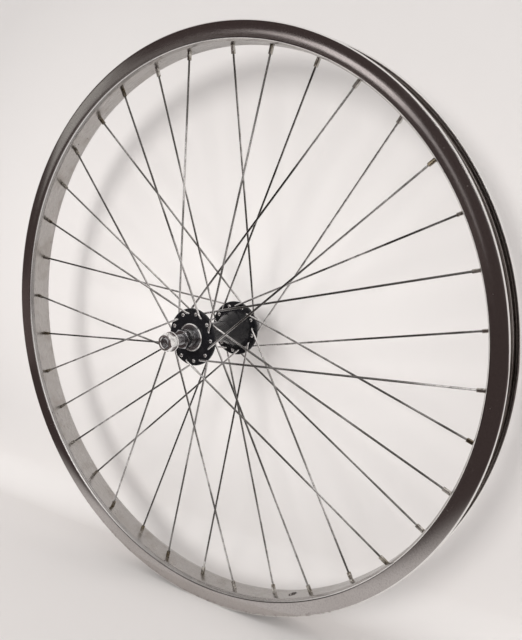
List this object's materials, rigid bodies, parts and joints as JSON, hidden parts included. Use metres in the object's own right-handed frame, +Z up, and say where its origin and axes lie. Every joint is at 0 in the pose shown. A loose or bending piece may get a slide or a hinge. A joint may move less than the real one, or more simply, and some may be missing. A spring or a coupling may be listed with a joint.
{
  "type": "bicycle front wheel",
  "caption": "Spoked bicycle front wheel without a tyre: polished single-wall rim, crossed steel spokes with nipples, black flanged hub, cup-and-cone bearings and nutted solid axle.",
  "frame": {"origin": "the wheel's centre, on the axle's centre line and in the rim's centre plane", "axes": "+Y along the axle, which the wheel spins about; +Z up; right is the -Y side and left is the +Y side, as seen facing +X"},
  "size_m": [0.5709, 0.1516, 0.571],
  "materials": {
    "rim_polish": "polished, lightly scuffed",
    "nipple_nickel": "nickel plated",
    "spoke_steel": "dull zinc plate",
    "hub_black": "gloss black",
    "bearing_steel": "ground",
    "dark_steel": "dark oiled steel",
    "zinc_plate": "bright zinc plate"
  },
  "bodies": {
    "axle_set": {"axle": "dark_steel", "cone_right": "dark_steel", "cone_left": "dark_steel", "lock_washer_right": "dark_steel", "lock_washer_left": "dark_steel", "locknut_right": "dark_steel", "locknut_left": "dark_steel"},
    "wheel": {"rim": "rim_polish", "nipples_right": "nipple_nickel", "nipples_left": "nipple_nickel", "spokes_right_outer": "spoke_steel", "spokes_right_inner": "spoke_steel", "spokes_left_outer": "spoke_steel", "spokes_left_inner": "spoke_steel", "hub_shell": "hub_black", "cup_right": "bearing_steel", "cup_left": "bearing_steel", "dust_cap_right": "dark_steel", "dust_cap_left": "dark_steel"},
    "ball_ring_right": {"balls_right": "bearing_steel", "retainer_right": "bearing_steel"},
    "ball_ring_left": {"balls_left": "bearing_steel", "retainer_left": "bearing_steel"},
    "washer_right": {"nut_washer_right": "zinc_plate"},
    "nut_right": {"axle_nut_right": "zinc_plate"},
    "washer_left": {"nut_washer_left": "zinc_plate"},
    "nut_left": {"axle_nut_left": "zinc_plate"}
  },
  "joints": [
    {"name": "wheel_spin", "type": "hinge", "parent": "axle_set", "child": "wheel", "pos_m": [0, 0, 0], "axis": [0, 1, 0], "continuous": true},
    {"name": "nut_washer_right_slide", "type": "slide", "parent": "axle_set", "child": "washer_right", "axis": [0, -1, 0], "range_m": [-0.01395, 0.00605]},
    {"name": "axle_nut_right_turn", "type": "hinge", "parent": "washer_right", "child": "nut_right", "pos_m": [0, 0, 0], "axis": [0, -1, 0], "range_deg": [-5004, 2160]},
    {"name": "balls_right_roll", "type": "hinge", "parent": "axle_set", "child": "ball_ring_right", "pos_m": [0, 0, 0], "axis": [0, 1, 0], "continuous": true},
    {"name": "nut_washer_left_slide", "type": "slide", "parent": "axle_set", "child": "washer_left", "axis": [0, 1, 0], "range_m": [-0.01395, 0.00605]},
    {"name": "axle_nut_left_turn", "type": "hinge", "parent": "washer_left", "child": "nut_left", "pos_m": [0, 0, 0], "axis": [0, 1, 0], "range_deg": [-5004, 2160]},
    {"name": "balls_left_roll", "type": "hinge", "parent": "axle_set", "child": "ball_ring_left", "pos_m": [0, 0, 0], "axis": [0, 1, 0], "continuous": true}
  ],
  "couplings": [
    {"joint": "balls_right_roll", "follows": "wheel_spin", "ratio": 0.5978},
    {"joint": "balls_left_roll", "follows": "wheel_spin", "ratio": 0.5978},
    {"joint": "nut_washer_right_slide", "follows": "axle_nut_right_turn", "m_per_rad": 0.00015915},
    {"joint": "nut_washer_left_slide", "follows": "axle_nut_left_turn", "m_per_rad": 0.00015915}
  ]
}
